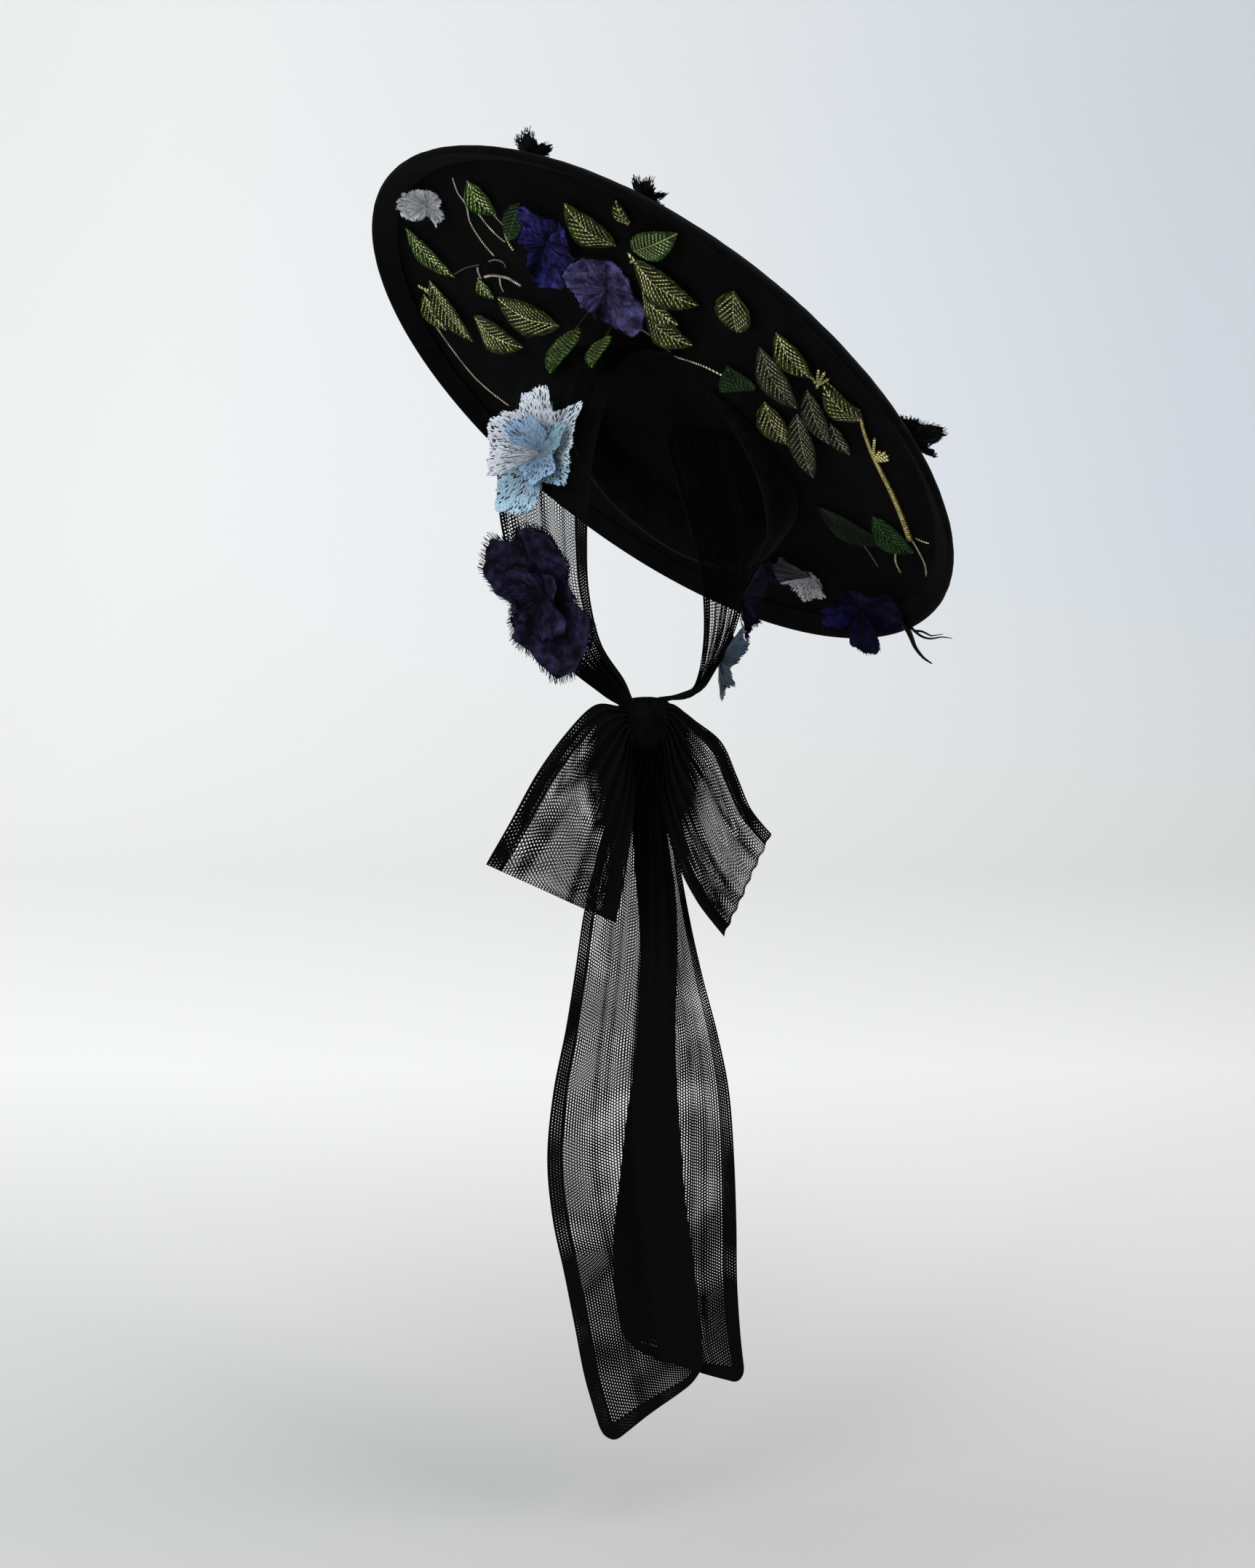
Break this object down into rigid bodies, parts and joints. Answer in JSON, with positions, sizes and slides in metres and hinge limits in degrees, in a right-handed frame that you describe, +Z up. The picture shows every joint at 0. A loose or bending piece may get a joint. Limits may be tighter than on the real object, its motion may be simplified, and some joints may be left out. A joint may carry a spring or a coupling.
{
  "type": "saucer hat",
  "caption": "Wide shallow saucer hat worn on the slant, black, with leaf and flower trim on its underside and a net sash tied under the chin in a bow.",
  "frame": {"origin": "the seat: the point of the saucer's underside that rests on the crown of the head", "axes": "+Z up, -Y the way the wearer faces, +X to the wearer's left, the low side of the saucer"},
  "size_m": [0.3207, 0.4365, 0.8144],
  "materials": {
    "felt_black": "matte near-black cloth over a stiff base",
    "binding_black": "folded bias strip, brown-black, soft sheen",
    "velvet_black": "deep black pile",
    "net_black": "double black net with a dark hem",
    "leaf_olive": "organza with olive and gold thread",
    "leaf_green": "organza with bright green and gold thread",
    "leaf_grey_green": "organza with grey-green thread",
    "leaf_dark_green": "dark green velvet leaf",
    "petal_sky": "satin-stitched thread petals, sky blue",
    "petal_pale": "satin-stitched thread petals, pale grey-lilac",
    "petal_plum": "velvet petals with a fringed edge, deep plum",
    "petal_violet": "velvet petals, blue-violet",
    "petal_lilac": "organza petal, dusky violet",
    "petal_indigo": "velvet petals, indigo",
    "petal_white": "satin petals, white with a lavender shade",
    "lace_black": "black net lace petals"
  },
  "bodies": {
    "root": {"saucer_shell": "felt_black", "rim_binding": "binding_black", "bandeau": "velvet_black", "tie_right": "net_black", "tie_left": "net_black", "bow_knot": "net_black", "bow_loop_right": "net_black", "bow_loop_left": "net_black", "bow_tail_right": "net_black", "bow_tail_left": "net_black", "leaf_back_long": "leaf_olive", "leaf_back_bright": "leaf_green", "leaf_back_green": "leaf_green", "leaf_fan_1": "leaf_olive", "leaf_fan_2": "leaf_olive", "leaf_fan_3": "leaf_green", "leaf_fan_4": "leaf_olive", "leaf_fan_5": "leaf_olive", "leaf_fan_6": "leaf_olive", "leaf_side_1": "leaf_olive", "leaf_side_2": "leaf_olive", "leaf_side_3": "leaf_olive", "leaf_side_4": "leaf_olive", "leaf_over_tie_1": "leaf_green", "leaf_over_tie_2": "leaf_olive", "leaf_lone": "leaf_olive", "leaf_spray_1": "leaf_olive", "leaf_spray_2": "leaf_grey_green", "leaf_spray_3": "leaf_green", "leaf_spray_4": "leaf_olive", "leaf_spray_5": "leaf_grey_green", "leaf_spray_6": "leaf_grey_green", "leaf_spray_7": "leaf_grey_green", "leaf_spray_8": "leaf_olive", "leaf_low_1": "leaf_dark_green", "leaf_low_2": "leaf_dark_green", "flower_violet_upper": "petal_violet", "flower_violet_lower": "petal_lilac", "flower_indigo": "petal_indigo", "petals_white_left": "petal_white", "petals_lilac_left": "petal_pale", "petals_white_back": "petal_white", "flower_blue_right_back": "petal_pale", "flower_blue_right_front": "petal_sky", "flower_plum_right_back": "petal_plum", "flower_plum_right_front": "petal_plum", "flower_plum_left": "petal_plum", "flower_blue_left": "petal_sky", "lace_top_back": "lace_black", "lace_top_side": "lace_black", "lace_top_low": "lace_black"}
  },
  "joints": []
}
